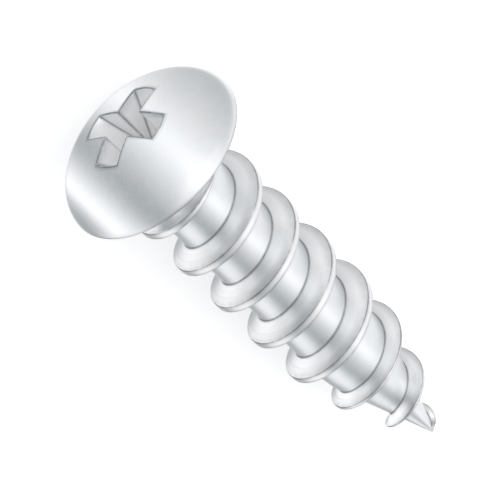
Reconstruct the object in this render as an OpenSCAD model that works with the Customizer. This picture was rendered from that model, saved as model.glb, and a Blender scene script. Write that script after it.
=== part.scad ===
// Round head self-tapping screw: a domed head with a cross recess, and a coarse right-hand thread
// that starts under the head and runs out to a sharp point. One piece of steel.
// It lies on the floor as it comes to rest, on the rim of its head and on one turn of its thread.
// Each part of the screw is drawn on its own axis, with the bearing face at z = 0 and the point at +z.

/* [Head] */
// Diameter of the head at its rim
head_dia = 7.8; // [7:0.1:10]
// Height of the dome above the bearing face
head_h = 2.1; // [1.9:0.1:3.4]

/* [Shank] */
// Length from the bearing face to the point
shank_len = 18.6; // [14:0.2:32]
// Diameter of the core between the turns of the thread
core_dia = 3.2; // [2.8:0.1:3.6]
// Length of the core's tapered end
taper_len = 5.3; // [4:0.1:8]
// Radius that blends the core into its taper
taper_blend_r = 4; // [1:0.5:8]
// Diameter that is left of the core at the very point
point_dia = 0.16; // [0.1:0.02:0.4]

/* [Thread] */
// Diameter over the crests
thread_dia = 4.85; // [4.2:0.05:5.6]
// Distance from one turn to the next
pitch = 2.44; // [1.8:0.02:3]
// Width of the flat on the crest
crest_w = 0.33; // [0.1:0.01:0.5]
// Angle between a flank and a plane square to the axis
flank_angle = 25; // [20:1:32]
// Distance from the bearing face to the middle of the crest where the thread starts
thread_start = 0.28; // [0.1:0.02:0.6]
// Turn over which the thread rises out of the fillet to its full height, in degrees
rise_turn = 240; // [120:10:360]
// Length at the point over which the crests fall
fall_len = 8; // [5:0.1:10]
// Height of the crest above the core where the thread ends at the point
end_ridge_h = 0.1; // [0.05:0.01:0.2]

/* [Recess] */
// Width of the cross over two opposite wings at the mouth
recess_span = 3.65; // [2.8:0.05:4.4]
// Width of one wing
wing_w = 1.08; // [0.8:0.02:1.3]
// Depth of the recess below the top of the dome
recess_depth = 2.15; // [1.4:0.05:2.4]
// Angle between the end of a wing and the axis
wing_end_angle = 26.5; // [15:0.5:30]
// Angle between a wing and the floor, with the screw at rest
recess_turn = 30; // [0:1:89]

/* [Hidden] */

$fn = 96;
STEPS_PER_TURN = 48;
// How far cutters and joined solids run past a face
EXTRA = 0.2;
// How far outside the crests the fillet under the head ends
FILLET_CLEARANCE = 0.04;
// Share of the core's radius at which the ridge is rooted, inside the core
ROOT_SHARE = 0.8;
// How much faster the crest's flat narrows than the ridge gets lower, and the share of it that stays
FLAT_FADE = 2.5;
SHARP = 0.1;

head_r = head_dia / 2;
core_r = core_dia / 2;
point_r = point_dia / 2;
crest_r = thread_dia / 2;
fillet_r = crest_r + FILLET_CLEARANCE - core_r;
taper_z = shank_len - taper_len;
taper_angle = atan((core_r - point_r) / taper_len);
blend_len = taper_blend_r * tan(taper_angle / 2);
fall_z = shank_len - fall_len;
fall_drop = crest_r - point_r - end_ridge_h;
fall_r = (fall_len ^ 2 + fall_drop ^ 2) / (2 * fall_drop);
rise_len = pitch * rise_turn / 360;

// Radius of the core at a distance from the bearing face, without its blend
function core_at(z) = z < taper_z ? core_r : core_r - (z - taper_z) * tan(taper_angle);

// Share of the thread's height that has risen out of the fillet, eased at both ends
function rise_at(z) =
    let (s = min(1, max(0, (z - thread_start) / rise_len)))
    s * s * (3 - 2 * s);

// Radius of the crest: it rises under the head and falls along an arc towards the point
function crest_at(z) =
    let (past = max(0, z - fall_z))
    let (full = crest_r - fall_r + sqrt(fall_r ^ 2 - past ^ 2))
    core_r * (1 - rise_at(z)) + full * rise_at(z);

// Half the flat on the crest, which gets narrower as the ridge gets lower, until the crest is sharp
function flat_at(z) =
    let (height = (crest_at(z) - core_at(z)) / (crest_r - core_r))
    crest_w / 2 * min(1, max(SHARP, 1 - FLAT_FADE * (1 - height)));

// Half the width of the ridge at its root, and the root's radius
function root_at(z) = ROOT_SHARE * core_at(z + flat_at(z));
function half_base_at(z) = flat_at(z) + (crest_at(z) - root_at(z)) * tan(flank_angle);

// The turns end where the ridge's base would pass the point
turns_len = shank_len - thread_start - 2 * half_base_at(shank_len);
steps = floor(turns_len / pitch * STEPS_PER_TURN);

// Lean of the axis, with the rim and the lowest crest both on the floor
bottom_crests = [for (z = [thread_start : pitch : taper_z + taper_len / 2]) z];
lean = min([for (z = bottom_crests) atan((head_r - crest_at(z)) / (z + flat_at(z)))]);
// Reach of the leaning dome and of the leaning point, either side of the bearing face's centre
dome_reach = sqrt((head_h * cos(lean)) ^ 2 + (head_r * sin(lean)) ^ 2);
point_reach = shank_len * cos(lean) + point_r * sin(lean);

// Outline of half the dome, with its height along -z
module dome_outline() {
    intersection() {
        scale([head_r, head_h]) circle(r = 1);
        translate([0, -head_h]) square([head_r, head_h]);
    }
}

// Outline of half the shank, with the fillet under the head and the blend into the taper
module shank_outline() {
    blend_z = taper_z - blend_len;
    blend_end_z = taper_z + blend_len * cos(taper_angle);
    blend_end_r = core_r - blend_len * sin(taper_angle);
    difference() {
        union() {
            translate([0, -EXTRA]) square([core_r, blend_z + EXTRA]);
            translate([0, -EXTRA]) square([core_r + fillet_r, fillet_r + EXTRA]);
            intersection() {
                translate([core_r - taper_blend_r, blend_z]) circle(r = taper_blend_r);
                translate([0, blend_z - EXTRA]) square([core_r, blend_end_z - blend_z + EXTRA]);
            }
            polygon([[0, blend_end_z], [blend_end_r, blend_end_z], [point_r, shank_len], [0, shank_len]]);
        }
        translate([core_r + fillet_r, fillet_r]) circle(r = fillet_r);
    }
}

// Section of the ridge after a number of steps, as four points around the axis
function ridge_section(step) =
    let (turn = 360 * step / STEPS_PER_TURN)
    let (z = thread_start + pitch * step / STEPS_PER_TURN)
    [for (p = [
        [root_at(z), z - half_base_at(z)],
        [crest_at(z), z - flat_at(z)],
        [crest_at(z), z + flat_at(z)],
        [root_at(z), z + half_base_at(z)],
    ]) [p.x * cos(turn), p.x * sin(turn), p.y]];

// The ridge of the thread, wound from section to section
module ridge() {
    corners = len(ridge_section(0));
    points = [for (step = [0 : steps]) each ridge_section(step)];
    sides = [
        for (step = [0 : steps - 1], i = [0 : corners - 1])
            let (a = step * corners + i)
            let (b = step * corners + (i + 1) % corners)
            each [[a, b, a + corners], [b, b + corners, a + corners]]
    ];
    start = [[2, 1, 0], [3, 2, 0]];
    last = steps * corners;
    end = [[last, last + 1, last + 2], [last, last + 2, last + 3]];
    polyhedron(points, concat(sides, start, end));
}

// The cross recess: two crossed slots, whose ends slope in towards the bottom along a cone
module recess() {
    mouth_z = -head_h * sqrt(1 - (recess_span / head_dia) ^ 2);
    floor_z = -head_h + recess_depth;
    slope = tan(wing_end_angle);
    top_r = recess_span / 2 + (mouth_z + head_h + EXTRA) * slope;
    floor_r = recess_span / 2 - (floor_z - mouth_z) * slope;
    intersection() {
        translate([0, 0, -head_h - EXTRA])
            cylinder(h = recess_depth + EXTRA, r1 = top_r, r2 = floor_r);
        for (turn = [0, 90])
            rotate([0, 0, turn])
                translate([-top_r, -wing_w / 2, -head_h - EXTRA])
                    cube([2 * top_r, wing_w, recess_depth + EXTRA]);
    }
    // Shallow pit that the punch's tip leaves in the floor
    translate([0, 0, floor_z - EXTRA])
        cylinder(h = EXTRA + wing_w / 4, r1 = wing_w / 2, r2 = wing_w / 8);
}

// The whole screw on its own axis
module upright_screw() {
    difference() {
        union() {
            rotate_extrude() dome_outline();
            rotate_extrude() shank_outline();
            ridge();
        }
        rotate([0, 0, 90 - recess_turn]) recess();
    }
}

// The screw as it lies, centred over the origin
module screw() {
    color("#c9ced1")
        translate([(dome_reach - point_reach) / 2, 0, head_r * cos(lean)])
            rotate([0, 90 + lean, 0])
                upright_screw();
}

screw();
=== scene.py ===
import math
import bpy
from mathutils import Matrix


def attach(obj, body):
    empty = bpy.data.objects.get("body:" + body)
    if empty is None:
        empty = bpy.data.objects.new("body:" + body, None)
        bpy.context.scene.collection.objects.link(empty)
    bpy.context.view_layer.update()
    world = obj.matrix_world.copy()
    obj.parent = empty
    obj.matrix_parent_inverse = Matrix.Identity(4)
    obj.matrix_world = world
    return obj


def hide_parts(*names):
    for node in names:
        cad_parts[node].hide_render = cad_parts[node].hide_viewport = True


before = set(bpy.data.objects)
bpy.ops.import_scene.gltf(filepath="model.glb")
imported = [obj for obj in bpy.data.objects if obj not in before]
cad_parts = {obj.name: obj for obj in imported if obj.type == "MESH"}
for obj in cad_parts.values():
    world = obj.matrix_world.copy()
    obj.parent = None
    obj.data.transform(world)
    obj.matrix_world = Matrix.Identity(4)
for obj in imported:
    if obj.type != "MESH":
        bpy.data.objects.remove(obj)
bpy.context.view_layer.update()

from types import SimpleNamespace

import bmesh
import bpy
from mathutils import Matrix, Vector

# The round head self-tapping screw, dressed for the render.
# The shank with its thread is made by Geometry Nodes, and the head, the cross recess and the nose of
# the point are rings of points joined to it. Everything is made on the screw's own axis, with the
# bearing face at z = 0 and the point at +z, and is then laid down as the screw comes to rest.

MM = 0.001

# Columns of points round the axis. Half a wing of the recess takes an eighth of them.
COLUMNS = 192
# Points nearer than this are one point
SAME_PLACE = 1.5e-7

# The sizes of the screw, as in the part's source
SCREW = SimpleNamespace(
    head_r=3.9 * MM,
    head_h=2.1 * MM,
    shank_len=18.6 * MM,
    core_r=1.6 * MM,
    taper_len=5.3 * MM,
    blend_r=4.0 * MM,
    point_r=0.08 * MM,
    crest_r=2.425 * MM,
    pitch=2.44 * MM,
    crest_w=0.33 * MM,
    thread_start=0.28 * MM,
    rise_len=2.44 * MM * 240 / 360,
    fall_len=8.0 * MM,
    end_ridge=0.1 * MM,
    fillet_r=0.865 * MM,
)
FLANK_ANGLE = math.radians(25)
# How much faster the crest's flat narrows than the ridge gets lower, and the share of it that stays
FLAT_FADE = 2.5
SHARP = 0.1

RECESS = SimpleNamespace(
    span_r=1.825 * MM,
    wing_half=0.54 * MM,
    depth=2.15 * MM,
    end_slope=math.tan(math.radians(26.5)),
    inner_r=0.09 * MM,
    tip_run=0.04 * MM,
)
# The wings lie this far round the screw's own axis, in degrees, which is this many columns
RECESS_TURN = 60
RECESS_COLUMN = round(COLUMNS * RECESS_TURN / 360)

# The rings of the head and the nose join the shank at these distances from the bearing face
FILLET_END = 0.1 * MM
NOSE_START = SCREW.shank_len - 0.05 * MM


# Node trees, with their sums written as plain expressions

class Sum:
    """A socket of a node tree that can be used in a written sum."""

    def __init__(self, maker, socket):
        self.maker = maker
        self.socket = socket

    def __add__(self, other):
        return self.maker.maths("ADD", self, other)

    def __radd__(self, other):
        return self.maker.maths("ADD", other, self)

    def __sub__(self, other):
        return self.maker.maths("SUBTRACT", self, other)

    def __rsub__(self, other):
        return self.maker.maths("SUBTRACT", other, self)

    def __mul__(self, other):
        return self.maker.maths("MULTIPLY", self, other)

    def __rmul__(self, other):
        return self.maker.maths("MULTIPLY", other, self)

    def __truediv__(self, other):
        return self.maker.maths("DIVIDE", self, other)

    def __rtruediv__(self, other):
        return self.maker.maths("DIVIDE", other, self)


class Maker:
    """Adds nodes to one tree."""

    def __init__(self, tree):
        self.tree = tree

    def node(self, kind, settings=None, sockets=None, stops=None):
        """A node with its settings, then its ramp's stops, and then the values or links of its sockets."""
        made = self.tree.nodes.new(kind)
        for name, value in (settings or {}).items():
            setattr(made, name, value)
        if stops:
            steps = made.color_ramp.elements
            ends = [steps[0], steps[len(steps) - 1]]
            for element, (place, colour) in zip(ends, (stops[0], stops[-1])):
                element.position = place
                element.color = colour
            for place, colour in stops[1:-1]:
                steps.new(place).color = colour
        for name, value in (sockets or {}).items():
            socket = self.shown(made.inputs, name)
            if isinstance(value, Sum):
                self.tree.links.new(value.socket, socket)
            elif isinstance(value, bpy.types.NodeSocket):
                self.tree.links.new(value, socket)
            else:
                socket.default_value = value
        return made

    def shown(self, sockets, name):
        """A socket by its number, or by its name where only one of that name is in use."""
        if isinstance(name, int):
            return sockets[name]
        return next(socket for socket in sockets if socket.name == name and socket.enabled)

    def maths(self, operation, *values):
        made = self.node("ShaderNodeMath", {"operation": operation}, dict(enumerate(values)))
        return Sum(self, made.outputs[0])

    def parts(self, vector):
        """The three parts of a vector."""
        made = self.node("ShaderNodeSeparateXYZ", sockets={0: vector})
        return [Sum(self, made.outputs[i]) for i in range(3)]

    def mix(self, share, first, second):
        """Two colours, mixed."""
        sockets = {"Factor": share, "A": first, "B": second}
        made = self.node("ShaderNodeMix", {"data_type": "RGBA"}, sockets)
        return self.shown(made.outputs, "Result")

    def marked(self, name):
        """How far each point of the piece was marked, from 0 to 1."""
        made = self.node("ShaderNodeAttribute", {"attribute_name": name})
        return Sum(self, made.outputs["Fac"])


def worked(operation, plain, *values):
    """One step of a sum, as a Math node when a value is a socket, and otherwise as a number."""
    for value in values:
        if isinstance(value, Sum):
            return value.maker.maths(operation, *values)
    return plain(*values)


def least(a, b):
    return worked("MINIMUM", min, a, b)


def most(a, b):
    return worked("MAXIMUM", max, a, b)


def root(a):
    return worked("SQRT", math.sqrt, a)


def whole(a):
    return worked("FLOOR", math.floor, a)


def size_of(a):
    return worked("ABSOLUTE", abs, a)


def sine(a):
    return worked("SINE", math.sin, a)


def cosine(a):
    return worked("COSINE", math.cos, a)


def held(value, low=0.0, high=1.0):
    return most(low, least(high, value))


def eased(share):
    return share * share * (3 - 2 * share)


# The rule of the shank and its thread, the same for numbers and for sockets

def with_derived(s):
    """Adds the lengths that follow from the named sizes."""
    s.taper_slope = (s.core_r - s.point_r) / s.taper_len
    s.taper_cos = 1 / root(1 + s.taper_slope * s.taper_slope)
    s.taper_sin = s.taper_slope * s.taper_cos
    s.blend_run = s.blend_r * s.taper_sin
    s.blend_z = s.shank_len - s.taper_len - s.blend_run / (1 + s.taper_cos)
    s.fall_z = s.shank_len - s.fall_len
    drop = s.crest_r - s.point_r - s.end_ridge
    s.fall_r = (s.fall_len * s.fall_len + drop * drop) / (2 * drop)
    return s


def core_at(s, z):
    """Radius of the core: the fillet under the head, the plain length, the blend and the taper."""
    up = most(0.0, s.fillet_r - z)
    fillet = s.fillet_r - root(s.fillet_r * s.fillet_r - up * up)
    past = held(z - s.blend_z, 0.0, s.blend_run)
    blend = s.blend_r - root(s.blend_r * s.blend_r - past * past)
    taper = most(0.0, z - s.blend_z - s.blend_run) * s.taper_slope
    return s.core_r + fillet - blend - taper


def bare_core_at(s, z):
    """Radius of the core without the fillet and the blend."""
    return s.core_r - most(0.0, z - s.shank_len + s.taper_len) * s.taper_slope


def crest_at(s, z):
    """Radius of the crest: it rises under the head and falls along an arc towards the point."""
    risen = eased(held((z - s.thread_start) / s.rise_len))
    past = most(0.0, z - s.fall_z)
    full = s.crest_r - s.fall_r + root(s.fall_r * s.fall_r - past * past)
    return s.core_r + (full - s.core_r) * risen


def flat_at(s, z):
    """Half the flat on the crest, which gets narrower as the ridge gets lower."""
    height = (crest_at(s, z) - bare_core_at(s, z)) / (s.crest_r - s.core_r)
    return s.crest_w / 2 * held(1 - FLAT_FADE * (1 - height), SHARP, 1.0)


def lean_at_rest(s):
    """Lean of the axis, with the rim and the lowest crest both on the floor."""
    leans = []
    z = s.thread_start
    while z <= s.shank_len - s.taper_len / 2:
        leans.append(math.atan((s.head_r - crest_at(s, z)) / (z + flat_at(s, z))))
        z += s.pitch
    return min(leans)


# Steps across half a turn of the thread: the crest, its edge, the flank, its root, and the valley
CREST_END = 1
EDGE_END = 4
FLANK_END = 6
ROOT_END = 10
HALF_TURN = 12
EDGE_ROUNDING = 0.04 * MM
ROOT_ROUNDING = 0.09 * MM
# Most that the roundings take of the crest's flat and of the flank, where the ridge is low
EDGE_OF_FLAT = 0.9
EDGE_OF_FLANK = 0.3
ROOT_OF_FLANK = 0.4
LEAST_RIDGE = 0.04 * MM
# Steps over which a mark fades, and the least ridge that is marked in full
MARK_STEPS = 2.2
MARKED_RIDGE = 0.12 * MM
# Where the ridge meets the fillet, the one runs into the other over about this height
RUN_IN = 0.03 * MM
# The thread fades out over this length before the nose
FADE_OUT = 0.35 * MM


def across_the_thread(s, step, middle, side):
    """Distance from the crest's middle, and share of the ridge's height, after a number of steps."""
    sin_flank = math.sin(FLANK_ANGLE)
    cos_flank = math.cos(FLANK_ANGLE)
    height = most(LEAST_RIDGE, crest_at(s, middle) - core_at(s, middle))
    flat = flat_at(s, middle)
    flank = height / cos_flank
    edge = least(EDGE_ROUNDING, least(flat * EDGE_OF_FLAT, flank * EDGE_OF_FLANK))
    foot = least(ROOT_ROUNDING, flank * ROOT_OF_FLANK)

    on_crest = held(step / CREST_END)
    on_edge = held((step - CREST_END) / (EDGE_END - CREST_END))
    on_flank = held((step - EDGE_END) / (FLANK_END - EDGE_END))
    on_foot = held((step - FLANK_END) / (ROOT_END - FLANK_END))
    in_valley = held((step - ROOT_END) / (HALF_TURN - ROOT_END))
    edge_left = (1 - on_edge) * (1 - on_edge)
    foot_left = (1 - on_foot) * (1 - on_foot)

    down_flank = edge * on_edge * on_edge + (flank - edge - foot) * on_flank + foot * (1 - foot_left)
    # On the taper the flank that faces the point runs out further than the other
    tapering = held((middle - s.blend_z) / s.blend_run) * s.taper_slope * math.tan(FLANK_ANGLE) * side
    run = (flat + height * math.tan(FLANK_ANGLE)) / (1 - tapering) - flat
    spread = run / (flank * sin_flank)

    out = (flat - edge) * on_crest + edge * (1 - edge_left) + down_flank * sin_flank * spread
    out = out + foot * on_foot * on_foot
    out = out + (s.pitch / 2 - flat - run - foot) * in_valley
    return out, 1 - down_flank / flank


# The named inputs of the shank's tree, and the sizes that they take
SIZE_LABELS = {
    "Shank length": "shank_len",
    "Core radius": "core_r",
    "Taper length": "taper_len",
    "Taper blend radius": "blend_r",
    "Point radius": "point_r",
    "Crest radius": "crest_r",
    "Pitch": "pitch",
    "Crest width": "crest_w",
    "Thread start": "thread_start",
    "Rise length": "rise_len",
    "Fall length": "fall_len",
    "End ridge height": "end_ridge",
    "Fillet radius": "fillet_r",
}


def shank_tree():
    """The shank: a sheet of points wound round the axis, whose rows follow the turns of the thread."""
    tree = bpy.data.node_groups.new("threaded shank", "GeometryNodeTree")
    sockets = {}

    def named(label, kind="NodeSocketFloat"):
        sockets[label] = tree.interface.new_socket(name=label, in_out="INPUT", socket_type=kind)

    for label in SIZE_LABELS:
        named(label)
    named("Columns", "NodeSocketInt")
    named("Turns", "NodeSocketInt")
    named("Finish", "NodeSocketMaterial")
    tree.interface.new_socket(name="Shank", in_out="OUTPUT", socket_type="NodeSocketGeometry")

    maker = Maker(tree)
    given = maker.node("NodeGroupInput")
    s = SimpleNamespace(**{key: Sum(maker, given.outputs[label]) for label, key in SIZE_LABELS.items()})
    s = with_derived(s)
    columns = Sum(maker, given.outputs["Columns"])
    turns = Sum(maker, given.outputs["Turns"])

    rows = turns * (2 * HALF_TURN)
    sheet = maker.node(
        "GeometryNodeMeshGrid",
        sockets={"Size X": 1.0, "Size Y": 1.0, "Vertices X": columns + 1, "Vertices Y": rows + 1},
    )
    place = maker.node("GeometryNodeInputPosition")
    across, along, _ = maker.parts(place.outputs[0])
    turned = across + 0.5
    row = whole((along + 0.5) * rows + 0.5)
    turn = whole(row / (2 * HALF_TURN))
    signed = row - turn * (2 * HALF_TURN) - HALF_TURN
    side = least(1.0, most(-1.0, signed))
    middle = s.thread_start + s.pitch * (turn - 1 + turned)
    out, share = across_the_thread(s, size_of(signed), middle, side)

    z = held(middle + side * out, FILLET_END, NOSE_START)
    core = core_at(s, z)
    ridge = crest_at(s, middle) - core
    ridge = (ridge + root(ridge * ridge + RUN_IN * RUN_IN)) / 2
    kept = held((z - FILLET_END) / FILLET_END) * eased(held((NOSE_START - z) / FADE_OUT))
    r = core + ridge * share * kept
    there = held(ridge * kept / MARKED_RIDGE)
    # The thread's roots are marked as creases, for painted shade, and the crest's edges for wear
    crease = there * held(1 - size_of(size_of(signed) - (FLANK_END + ROOT_END) / 2) / MARK_STEPS)
    edge = there * held(1 - size_of(size_of(signed) - (CREST_END + EDGE_END) / 2) / MARK_STEPS)
    angle = turned * math.tau
    spot = maker.node(
        "ShaderNodeCombineXYZ", sockets={0: r * cosine(angle), 1: r * sine(angle), 2: z}
    )
    shape = sheet.outputs["Mesh"]
    for name, value in (("crease", crease), ("edge", edge)):
        shape = maker.node(
            "GeometryNodeStoreNamedAttribute",
            {"data_type": "FLOAT", "domain": "POINT"},
            {"Geometry": shape, "Name": name, "Value": value},
        ).outputs[0]
    wound = maker.node(
        "GeometryNodeSetPosition", sockets={"Geometry": shape, "Position": spot.outputs[0]}
    )
    closed = maker.node(
        "GeometryNodeMergeByDistance",
        sockets={"Geometry": wound.outputs[0], "Distance": SAME_PLACE},
    )
    real = maker.node("GeometryNodeRealizeInstances", sockets={"Geometry": closed.outputs[0]})
    finished = maker.node(
        "GeometryNodeSetMaterial",
        sockets={"Geometry": real.outputs[0], "Material": given.outputs["Finish"]},
    )
    maker.node("NodeGroupOutput", sockets={"Shank": finished.outputs[0]})
    return tree, sockets


# Turns of the sheet besides the thread's own. Their rows close up at its two ends.
SPARE_TURNS = 3


def shank_mesh(material):
    """The shank as a plain mesh, on the screw's own axis."""
    tree, sockets = shank_tree()
    blank = bpy.data.objects.new("shank_blank", bpy.data.meshes.new("shank_blank"))
    bpy.context.scene.collection.objects.link(blank)
    winding = blank.modifiers.new("threaded shank", "NODES")
    winding.node_group = tree
    for label, key in SIZE_LABELS.items():
        winding[sockets[label].identifier] = getattr(SCREW, key)
    winding[sockets["Columns"].identifier] = COLUMNS
    turns = (SCREW.shank_len - SCREW.thread_start) / SCREW.pitch
    winding[sockets["Turns"].identifier] = SPARE_TURNS + math.ceil(turns)
    winding[sockets["Finish"].identifier] = material
    ready = blank.evaluated_get(bpy.context.evaluated_depsgraph_get())
    mesh = bpy.data.meshes.new_from_object(ready)
    bpy.data.objects.remove(blank)
    return mesh


# The head and the nose, as rings of points

def ring(r, z):
    """A circle of points round the axis."""
    turns = [math.tau * i / COLUMNS for i in range(COLUMNS)]
    return [Vector((r * math.cos(t), r * math.sin(t), z)) for t in turns]


def bent(first, corner, last, share):
    """A point on the rounding of a corner."""
    return first * (1 - share) ** 2 + corner * (2 * share * (1 - share)) + last * share ** 2


def rounded(first, corner, last, steps):
    """Rings that round a corner between the first ring and the last, both left out."""
    return [
        [bent(a, b, c, i / steps) for a, b, c in zip(first, corner, last)] for i in range(1, steps)
    ]


def between(first, last, share):
    return [a.lerp(b, share) for a, b in zip(first, last)]


# Steps of the outline over half a wing: its end, the corner, the side, and the inner corner
END_STEPS = 8
TIP_STEPS = 3
SIDE_STEPS = 9
INNER_STEPS = 4


def half_wing(grown, end_r, inner_r):
    """Outline of half a wing that lies along +x, from the middle of its end to the inner corner."""
    half = RECESS.wing_half + grown
    r = end_r + grown
    inner = inner_r - grown
    tip = math.asin(half / r)
    tip_turn = RECESS.tip_run / r
    corner = Vector((r * math.cos(tip), half))
    end = [(tip - tip_turn) * i / END_STEPS for i in range(END_STEPS + 1)]
    spots = [Vector((r * math.cos(t), r * math.sin(t))) for t in end]
    side_start = corner - Vector((RECESS.tip_run, 0))
    spots += [bent(spots[-1], corner, side_start, i / TIP_STEPS) for i in range(1, TIP_STEPS)]
    side_end = Vector((half + inner, half))
    spots += [side_start.lerp(side_end, i / SIDE_STEPS) for i in range(SIDE_STEPS)]
    for i in range(INNER_STEPS + 1):
        t = math.radians(270 - 45 * i / INNER_STEPS)
        spots.append(Vector((half + inner, half + inner)) + inner * Vector((math.cos(t), math.sin(t))))
    return spots


def cross(grown, end_r, inner_r, height):
    """The outline of the cross recess as a ring, at a height that may depend on the distance out."""
    half = half_wing(grown, end_r, inner_r)
    wing = half + [Vector((p.y, p.x)) for p in half[-2:0:-1]]
    spots = []
    for quarter in range(4):
        turn = Matrix.Rotation(math.radians(90 * quarter + RECESS_TURN), 2)
        spots += [turn @ p for p in wing]
    spots = spots[-RECESS_COLUMN:] + spots[:-RECESS_COLUMN]
    return [Vector((p.x, p.y, height(p.length))) for p in spots]


def dome_z(r):
    return -SCREW.head_h * math.sqrt(max(0.0, 1 - (r / SCREW.head_r) ** 2))


def over_the_dome(first, last, share):
    """A ring on the dome, between two others on it."""
    spots = []
    for a, b in zip(first, last):
        slope_a = math.asin(min(1.0, a.xy.length / SCREW.head_r))
        slope_b = math.asin(min(1.0, b.xy.length / SCREW.head_r))
        slope = slope_a + (slope_b - slope_a) * share
        turn_a = math.atan2(a.y, a.x)
        gap = math.remainder(math.atan2(b.y, b.x) - turn_a, math.tau)
        turn = turn_a + gap * share
        r = SCREW.head_r * math.sin(slope)
        spots.append(Vector((r * math.cos(turn), r * math.sin(turn), -SCREW.head_h * math.cos(slope))))
    return spots


FILLET_STEPS = 6
# The fillet under the head is marked more and more as a crease towards the bearing face, for painted shade
# there
FILLET_CREASE = 0.35
# Rings of the bearing face: the share of the way to the rim, and the marks as a crease, for painted shade,
# and an edge
FACE_RINGS = [(0.08, 0.2, 0), (0.35, 0, 0), (0.65, 0, 0), (0.92, 0, 0), (1, 0, 0.5)]
RIM_ROUNDING = 0.05 * MM
DOME_STEPS = 26
MOUTH_ROUNDING = 0.045 * MM
# A ring this far outside the mouth keeps the dome's shading even
MOUTH_SUPPORT = 0.078 * MM
WALL_STEPS = 9
# The walls of the recess start this many times further down than the rounding of its mouth
WALL_START = 1.8
# Share by which the inner corners get sharper towards the floor
INNER_SHARPENING = 0.4
FLOOR_ROUNDING = 0.05 * MM
# The shallow pit that the punch's tip leaves in the floor of the recess: the radius of its mouth, with
# and without the rounding, and its rings, each with its radius, its depth and its mark as a crease, for
# painted shade
PIT_ROUND_R = 0.408 * MM
PIT_R = 0.368 * MM
PIT_DEPTH = 0.27 * MM
PIT_RINGS = [
    (0.338 * MM, 0.035 * MM, 0), (0.2515 * MM, 0.135 * MM, 0), (0.155 * MM, 0.245 * MM, 0),
    (0.105 * MM, PIT_DEPTH, 0.5), (0.045 * MM, PIT_DEPTH, 0.5),
]
# Columns over which the marks at the wings' tips and at the inner corners fade
TIP_FADE = 2.5
INNER_FADE = 3


def along_wings(at_tip, at_inner):
    """Marks for the columns of the recess: at the corners of the wings' ends, and at the inner corners."""
    eighth = COLUMNS // 8
    tip_middle = END_STEPS + TIP_STEPS / 2
    values = []
    for i in range(COLUMNS):
        step = (i - RECESS_COLUMN) % (2 * eighth)
        step = min(step, 2 * eighth - step)
        tip = max(0.0, 1 - abs(step - tip_middle) / TIP_FADE)
        inner = max(0.0, 1 - max(0, eighth - INNER_STEPS / 2 - step) / INNER_FADE)
        values.append(max(tip * at_tip, inner * at_inner))
    return values


class Skin:
    """Rings of points that are joined into one skin, with each point's marks as a crease, for painted
    shade, and an edge.
    """

    def __init__(self):
        self.rings = []

    def add(self, spots, crease=0.0, edge=0.0):
        creases = crease if isinstance(crease, list) else [crease] * COLUMNS
        edges = edge if isinstance(edge, list) else [edge] * COLUMNS
        self.rings.append((spots, creases, edges))

    def round_off(self, first, corner, last, steps, crease=0.0, edge=0.0):
        """Adds the rings that round a corner, with its marks strongest in the middle of the rounding."""
        for i, spots in enumerate(rounded(first, corner, last, steps), 1):
            middle = 1 - abs(2 * i / steps - 1) * 0.5
            self.add(spots, crease * middle, edge * middle)

    def join(self, work, pole):
        """Makes the skin, and closes the last ring over its pole."""
        crease_layer = work.verts.layers.float.get("crease") or work.verts.layers.float.new("crease")
        edge_layer = work.verts.layers.float.get("edge") or work.verts.layers.float.new("edge")
        rows = []
        for spots, creases, edges in self.rings:
            row = [work.verts.new(p) for p in spots]
            for point, crease, edge in zip(row, creases, edges):
                point[crease_layer] = crease
                point[edge_layer] = edge
            rows.append(row)
        for a, b in zip(rows, rows[1:]):
            for i in range(COLUMNS):
                j = (i + 1) % COLUMNS
                work.faces.new((a[i], a[j], b[j], b[i]))
        top = work.verts.new(pole)
        last = rows[-1]
        for i in range(COLUMNS):
            work.faces.new((last[i], last[(i + 1) % COLUMNS], top))


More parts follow.
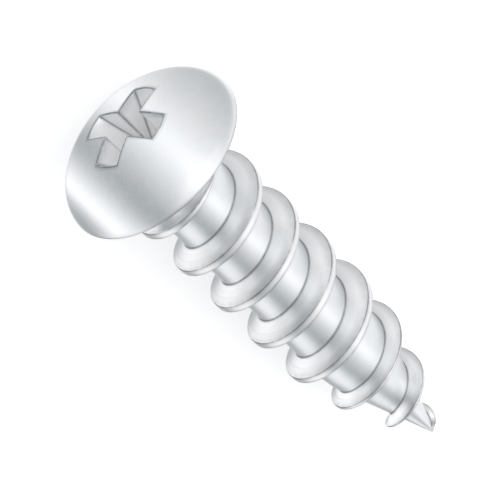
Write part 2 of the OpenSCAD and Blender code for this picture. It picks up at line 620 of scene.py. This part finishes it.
def add_head(work):
    """The head, from the shank over the bearing face, the rim and the dome into the recess."""
    s = SCREW
    skin = Skin()
    join = math.asin(1 - FILLET_END / s.fillet_r)
    for i in range(FILLET_STEPS + 1):
        t = join + (math.pi / 2 - join) * i / FILLET_STEPS
        r = s.core_r + s.fillet_r * (1 - math.cos(t))
        skin.add(ring(r, s.fillet_r * (1 - math.sin(t))), crease=FILLET_CREASE * i / FILLET_STEPS)
    fillet_top = s.core_r + s.fillet_r
    rim_start = s.head_r - RIM_ROUNDING
    for share, crease, edge in FACE_RINGS:
        skin.add(ring(fillet_top + (rim_start - fillet_top) * share, 0.0), crease, edge)
    rim_top_r = s.head_r * math.sqrt(1 - (RIM_ROUNDING / s.head_h) ** 2)
    rim_top = ring(rim_top_r, -RIM_ROUNDING)
    skin.round_off(ring(rim_start, 0.0), ring(s.head_r, 0.0), rim_top, 4, edge=1.0)

    mouth_far = cross(MOUTH_SUPPORT, RECESS.span_r, RECESS.inner_r, dome_z)
    mouth_near = cross(MOUTH_ROUNDING, RECESS.span_r, RECESS.inner_r, dome_z)
    mouth = cross(0.0, RECESS.span_r, RECESS.inner_r, dome_z)
    for i in range(DOME_STEPS):
        skin.add(over_the_dome(rim_top, mouth_far, i / DOME_STEPS), edge=0.4 if i == 0 else 0.0)
    skin.add(mouth_far, edge=0.3)
    skin.add(mouth_near, edge=1.0)

    floor_z = RECESS.depth - s.head_h
    mouth_z = dome_z(RECESS.span_r)

    def wall(share, grown=0.0):
        end_r = RECESS.span_r - share * (floor_z - mouth_z) * RECESS.end_slope
        inner_r = RECESS.inner_r * (1 - INNER_SHARPENING * share)
        plan = cross(grown, end_r, inner_r, lambda r: 0.0)
        return [Vector((p.x, p.y, top.z + (floor_z - top.z) * share)) for p, top in zip(plan, mouth)]

    lip = MOUTH_ROUNDING / (floor_z - mouth_z)
    foot = 1 - FLOOR_ROUNDING / (floor_z - mouth_z)
    start = lip * WALL_START
    # The corners at the wings' ends are marked as creases, for painted shade, and the inner corners as
    # edges
    corners = along_wings(at_tip=1.0, at_inner=0.0)
    inner = along_wings(at_tip=0.0, at_inner=0.7)
    skin.round_off(mouth_near, mouth, wall(lip), 4, edge=1.0)
    skin.add(wall(lip), corners, inner)
    for i in range(WALL_STEPS):
        skin.add(wall(start + (foot - start) * i / WALL_STEPS), corners, inner)
    # The rounding into the recess's floor is marked as a crease, for painted shade
    skin.add(wall(foot), crease=0.6)
    floor_edge = wall(1.0, -FLOOR_ROUNDING)
    skin.round_off(wall(foot), wall(1.0), floor_edge, 4, crease=1.0)
    skin.add(floor_edge, crease=0.6)

    pit_mouth = ring(PIT_ROUND_R, floor_z)
    pit = [ring(r, floor_z + down) for r, down, _ in PIT_RINGS]
    for share in (0.35, 0.7, 1.0):
        skin.add(between(floor_edge, pit_mouth, share))
    skin.round_off(pit_mouth, ring(PIT_R, floor_z), pit[0], 3)
    for spots, (_, _, crease) in zip(pit, PIT_RINGS):
        skin.add(spots, crease)
    skin.join(work, Vector((0, 0, floor_z + PIT_DEPTH)))


# Radius of the flat that is left at the very point, as a share of the point's radius
NOSE_FLAT = 0.3


def add_nose(work):
    """The rings that round off the very point."""
    s = SCREW
    start = ring(core_at(s, NOSE_START), NOSE_START)
    flat = ring(NOSE_FLAT * s.point_r, s.shank_len)
    skin = Skin()
    skin.add(start)
    skin.round_off(start, ring(s.point_r, s.shank_len), flat, 5)
    skin.add(flat)
    skin.join(work, Vector((0, 0, s.shank_len)))


def laid_down(s):
    """Where the screw lies: the middle of its bearing face, the turn of its axis from +z, and its lean."""
    lean = lean_at_rest(s)
    dome_reach = math.hypot(s.head_h * math.cos(lean), s.head_r * math.sin(lean))
    point_reach = s.shank_len * math.cos(lean) + s.point_r * math.sin(lean)
    centre = Vector(((dome_reach - point_reach) / 2, 0, s.head_r * math.cos(lean)))
    turn = math.pi / 2 + lean
    return centre, turn, lean


def screw_piece(material, place):
    """The whole screw as one closed skin."""
    work = bmesh.new()
    work.from_mesh(shank_mesh(material))
    add_head(work)
    add_nose(work)
    bmesh.ops.remove_doubles(work, verts=work.verts, dist=SAME_PLACE)
    bmesh.ops.transform(work, matrix=place, verts=work.verts)
    bmesh.ops.recalc_face_normals(work, faces=work.faces)
    for face in work.faces:
        face.smooth = True
        face.material_index = 0
    mesh = bpy.data.meshes.new("screw_skin")
    work.to_mesh(mesh)
    work.free()
    mesh.materials.append(material)
    piece = bpy.data.objects.new("screw_skin", mesh)
    bpy.context.scene.collection.objects.link(piece)
    even = piece.modifiers.new("even shading", "WEIGHTED_NORMAL")
    even.mode = "FACE_AREA"
    even.weight = 100
    even.keep_sharp = True
    return piece


# The finish

# Colour of the plating, by its cloudiness, and where it is burnished or worn through, with painted light
# inside the recess and painted shade in the creases
PLATING = [(0.3, (0.85, 0.872, 0.885, 1)), (0.7, (0.90, 0.915, 0.925, 1))]
BURNISHED = (0.97, 0.978, 0.983, 1)
# Painted light: the near-white colour inside the recess
PAINTED_RECESS_LIGHT = (0.97, 0.975, 0.98, 1)
# Painted shade: the dark colour laid into the creases
CREASE_SHADE = (0.15, 0.16, 0.17, 1)
WORN_STEEL = (0.20, 0.21, 0.22, 1)
LEAST_ROUGHNESS = 0.2
BUMP_HEIGHT = 0.008 * MM
# Marks that the rolling dies leave: how many there are across one pitch, and how deep they are
ROLLING_MARKS = [(23, 0.5), (41, 0.3), (67, 0.2)]


def share_past(value, start, run):
    """How far a value is past its start, from 0 to 1 over this run."""
    return held((value - start) / run)


def zinc_plated_steel(centre, turn):
    """Bright zinc plating: nearly even on the head, with rolling marks along the thread.

    It has painted shade in the creases and painted light inside the recess, and is worn through to grey
    steel along parts of the sharp edges."""
    material = bpy.data.materials.new("zinc_plated_steel")
    material.use_nodes = True
    material.node_tree.nodes.clear()
    maker = Maker(material.node_tree)
    coordinates = maker.node("ShaderNodeTexCoord")
    own = maker.node(
        "ShaderNodeMapping",
        {"vector_type": "TEXTURE"},
        {"Vector": coordinates.outputs["Object"], "Location": centre, "Rotation": (0, turn, 0)},
    ).outputs[0]
    x, y, z = maker.parts(own)
    r = root(x * x + y * y)

    def noise(size, detail, rough):
        """Noise whose larger features have this size."""
        made = maker.node(
            "ShaderNodeTexNoise",
            sockets={"Vector": own, "Scale": 1 / size, "Detail": detail, "Roughness": rough},
        )
        return Sum(maker, made.outputs[0])

    cloud = noise(size=1.6 * MM, detail=3, rough=0.55)
    mottle = noise(size=0.28 * MM, detail=4, rough=0.6)
    grain = noise(size=0.09 * MM, detail=1, rough=0.5)

    # Painted light: the inside of the recess is painted near white, made mostly matt and a little rougher,
    # which lifts the shade that falls in it
    across = r / SCREW.head_r
    under_dome = z + root(most(0.0, 1 - across * across)) * SCREW.head_h
    in_the_cross = 1 - share_past(r, start=1.8 * MM, run=0.1 * MM)
    above_its_floor = 1 - share_past(z, start=0.5 * MM, run=0.1 * MM)
    painted_light_inside = share_past(under_dome, start=0.05 * MM, run=0.35 * MM) * in_the_cross * above_its_floor

    # The rolling dies leave fine marks along the turns, and burnish the ridge of the thread
    on_shank = share_past(z, start=0.2 * MM, run=0.5 * MM)
    wound = (z / SCREW.pitch) * math.tau - worked("ARCTAN2", math.atan2, y, x)
    marks = 0.0
    for (count, depth), wander in zip(ROLLING_MARKS, (mottle * 4, cloud * 9, 0.0)):
        marks = marks + sine(wound * count + wander) * depth
    burnished = on_shank * share_past(r, start=core_at(SCREW, z), run=0.2 * MM)

    # Painted shade in the creases, broken up a little by the mottle
    crease = held(maker.marked("crease") * (0.7 + mottle * 0.6))
    worn = held(maker.marked("edge") * (mottle * 1.2 + cloud * 1.4 - 0.3))

    tint = maker.node(
        "ShaderNodeValToRGB",
        sockets={"Fac": held(cloud * 0.6 + mottle * 0.4)},
        stops=PLATING,
    ).outputs[0]
    colour = maker.mix(burnished * 0.7, tint, BURNISHED)
    # Painted light inside the recess
    colour = maker.mix(painted_light_inside, colour, PAINTED_RECESS_LIGHT)
    # Painted shade: the creases are darkened where shade falls, in the thread's roots, under the head and
    # in the recess's corners
    colour = maker.mix(crease * 0.85, colour, CREASE_SHADE)
    colour = maker.mix(worn * 0.9, colour, WORN_STEEL)

    roughness = LEAST_ROUGHNESS + cloud * 0.08 + mottle * 0.08
    roughness = roughness + painted_light_inside * 0.1 + crease * 0.15 + on_shank * 0.02
    height = grain * 0.08 + mottle * 0.7 + on_shank * marks * 0.25
    bump = maker.node(
        "ShaderNodeBump",
        sockets={"Strength": 0.5, "Distance": BUMP_HEIGHT, "Height": height},
    )
    skin = maker.node(
        "ShaderNodeBsdfPrincipled",
        sockets={
            "Base Color": colour,
            # Painted light: the recess's inside is made mostly matt, so that it reads lighter
            "Metallic": 1 - painted_light_inside * 0.9,
            "Roughness": roughness,
            "Normal": bump.outputs[0],
        },
    )
    maker.node("ShaderNodeOutputMaterial", sockets={"Surface": skin.outputs[0]})
    return material


# The studio

# Half the width of the floor, in metres
FLOOR_REACH = 3.0


def pale_floor():
    """A plain floor under the screw."""
    mesh = bpy.data.meshes.new("pale_floor")
    corners = [(x * FLOOR_REACH, y * FLOOR_REACH, 0) for x, y in ((-1, -1), (1, -1), (1, 1), (-1, 1))]
    mesh.from_pydata(corners, [], [(0, 1, 2, 3)])
    floor = bpy.data.objects.new("pale_floor", mesh)
    bpy.context.scene.collection.objects.link(floor)
    material = bpy.data.materials.new("pale_floor")
    material.use_nodes = True
    material.node_tree.nodes.clear()
    maker = Maker(material.node_tree)
    skin = maker.node(
        "ShaderNodeBsdfPrincipled",
        sockets={
            "Base Color": (0.93, 0.93, 0.93, 1),
            "Roughness": 0.9,
            "Specular IOR Level": 0.1,
            "Emission Color": (1, 1, 1, 1),
            "Emission Strength": 0.4,
        },
    )
    maker.node("ShaderNodeOutputMaterial", sockets={"Surface": skin.outputs[0]})
    mesh.materials.append(material)
    # The steel mirrors the soft strips all round it, and not the floor
    floor.visible_glossy = False


# The soft light overhead: its place and its width in metres, and its power in watts
OVERHEAD_PLACE = Vector((0.06, 0.10, 0.30))
OVERHEAD_WIDTH = 0.40
OVERHEAD_POWER = 0.055


def overhead_light():
    """A soft square light that faces the screw."""
    data = bpy.data.lights.new("overhead", "AREA")
    data.shape = "SQUARE"
    data.size = OVERHEAD_WIDTH
    data.energy = OVERHEAD_POWER
    light = bpy.data.objects.new("overhead", data)
    bpy.context.scene.collection.objects.link(light)
    light.location = OVERHEAD_PLACE
    light.rotation_euler = (-OVERHEAD_PLACE).to_track_quat("-Z", "Y").to_euler()


# Angle between the view and a plane square to the screw's axis
CAMERA_TILT = math.asin(1 / math.sqrt(3))
# In the picture the screw runs down to the right, at this angle to level
PICTURE_FALL = math.radians(44.6)
# Width of the view at the screw, and how far its middle is from the bearing face, along the axis
VIEW_WIDTH = 19.19 * MM
VIEW_MIDDLE = 6.25 * MM
# A long lens on a full-size sensor, both in millimetres as the camera takes them
LENS = 600
SENSOR_WIDTH = 36

# Brightness of the soft strips, by their place from one side of the screw, -1, to the other, 1
SHANK_STRIPS = [
    (-1.0, 1.5), (-0.93, 1.3), (-0.8, 0.66), (-0.62, 0.64), (-0.35, 0.9), (0.0, 1.18),
    (0.35, 1.6), (0.6, 1.56), (0.8, 1.4), (0.93, 1.42), (1.0, 1.42),
]
HEAD_STRIPS = [
    (-1.0, 0.66), (-0.95, 0.66), (-0.87, 1.0), (-0.79, 2.0), (-0.7, 1.6), (-0.56, 1.0),
    (-0.46, 0.66), (-0.36, 0.6), (-0.24, 0.9), (-0.08, 1.18), (0.1, 1.64), (0.2, 1.8),
    (0.35, 1.42), (0.6, 1.12), (0.85, 0.9), (1.0, 0.84),
]
# The brightest that a strip may be
FULL_STRIP = 2.0
STUDIO_LIGHT = 0.69
# Strips dimmer than 1 get cooler over this range, by these shares of red and of blue
COOLING_RANGE = 0.4
LESS_RED = 0.07
MORE_BLUE = 0.01
# The head mirrors the light that comes from less far along the axis than this, blended over this range
HEAD_ALONG = 0.42
HEAD_BLEND = 0.2


def studio_world(turn):
    """Soft strips of light and shade along the screw, one set for the shank and one for the head.

    Each set is laid out so that it runs straight along the shank, and straight over the dome."""
    world = bpy.data.worlds.new("studio")
    bpy.context.scene.world = world
    world.use_nodes = True
    world.node_tree.nodes.clear()
    maker = Maker(world.node_tree)
    coordinates = maker.node("ShaderNodeTexCoord")
    own = maker.node(
        "ShaderNodeMapping",
        {"vector_type": "TEXTURE"},
        {"Vector": coordinates.outputs["Generated"], "Rotation": (0, turn, 0)},
    ).outputs[0]
    down, side, along = maker.parts(own)

    def strip_colour(brightness):
        """Light of this brightness, a little cooler where it is dim. A ramp holds colours up to 1."""
        cooler = held((1 - brightness) / COOLING_RANGE)
        share = brightness / FULL_STRIP
        return share * (1 - LESS_RED * cooler), share, share * (1 + MORE_BLUE), 1

    def strips(place, values):
        """Strips by their place from one side, -1, to the other, 1."""
        made = maker.node(
            "ShaderNodeValToRGB",
            sockets={"Fac": place * 0.5 + 0.5},
            stops=[((p + 1) / 2, strip_colour(v)) for p, v in values],
        )
        return made.outputs[0]

    # The part of the dome that sends this direction to the camera faces halfway between the two
    half_down = down - math.cos(CAMERA_TILT)
    half_along = (along - math.sin(CAMERA_TILT)) * (SCREW.head_h / SCREW.head_r)
    over_dome = side / root(side * side + half_down * half_down + half_along * half_along)
    round_shank = side / root(side * side + down * down)
    on_head = eased(held((HEAD_ALONG - along) / HEAD_BLEND))
    colour = maker.mix(on_head, strips(round_shank, SHANK_STRIPS), strips(over_dome, HEAD_STRIPS))
    glow = maker.node(
        "ShaderNodeBackground", sockets={"Color": colour, "Strength": FULL_STRIP * STUDIO_LIGHT}
    )
    maker.node("ShaderNodeOutputWorld", sockets={"Surface": glow.outputs[0]})


def studio_camera(centre, lean):
    """A long lens, at the angle of the drawing."""
    axis = Vector((math.cos(lean), 0, -math.sin(lean)))
    across = Vector((0, 1, 0))
    above = Vector((math.sin(lean), 0, math.cos(lean)))
    to_camera = above * math.cos(CAMERA_TILT) - axis * math.sin(CAMERA_TILT)
    along = axis * math.cos(CAMERA_TILT) + above * math.sin(CAMERA_TILT)
    right = along * math.cos(PICTURE_FALL) + across * math.sin(PICTURE_FALL)
    up = across * math.cos(PICTURE_FALL) - along * math.sin(PICTURE_FALL)
    data = bpy.data.cameras.new("camera")
    data.lens = LENS
    data.sensor_width = SENSOR_WIDTH
    distance = VIEW_WIDTH * LENS / SENSOR_WIDTH
    data.clip_start = 0.01
    data.clip_end = 10
    camera = bpy.data.objects.new("camera", data)
    bpy.context.scene.collection.objects.link(camera)
    aim = centre + axis * VIEW_MIDDLE
    facing = Matrix((right, up, to_camera)).transposed().to_4x4()
    camera.matrix_world = Matrix.Translation(aim + to_camera * distance) @ facing
    bpy.context.scene.camera = camera


SCREW = with_derived(SCREW)
centre, turn, lean = laid_down(SCREW)
studio_camera(centre, lean)

finish = zinc_plated_steel(centre, turn)
place = Matrix.Translation(centre) @ Matrix.Rotation(turn, 4, "Y")
screw = screw_piece(finish, place)
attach(screw, "root")
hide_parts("screw")

pale_floor()
studio_world(turn)
overhead_light()
bpy.context.scene.view_settings.view_transform = "Standard"
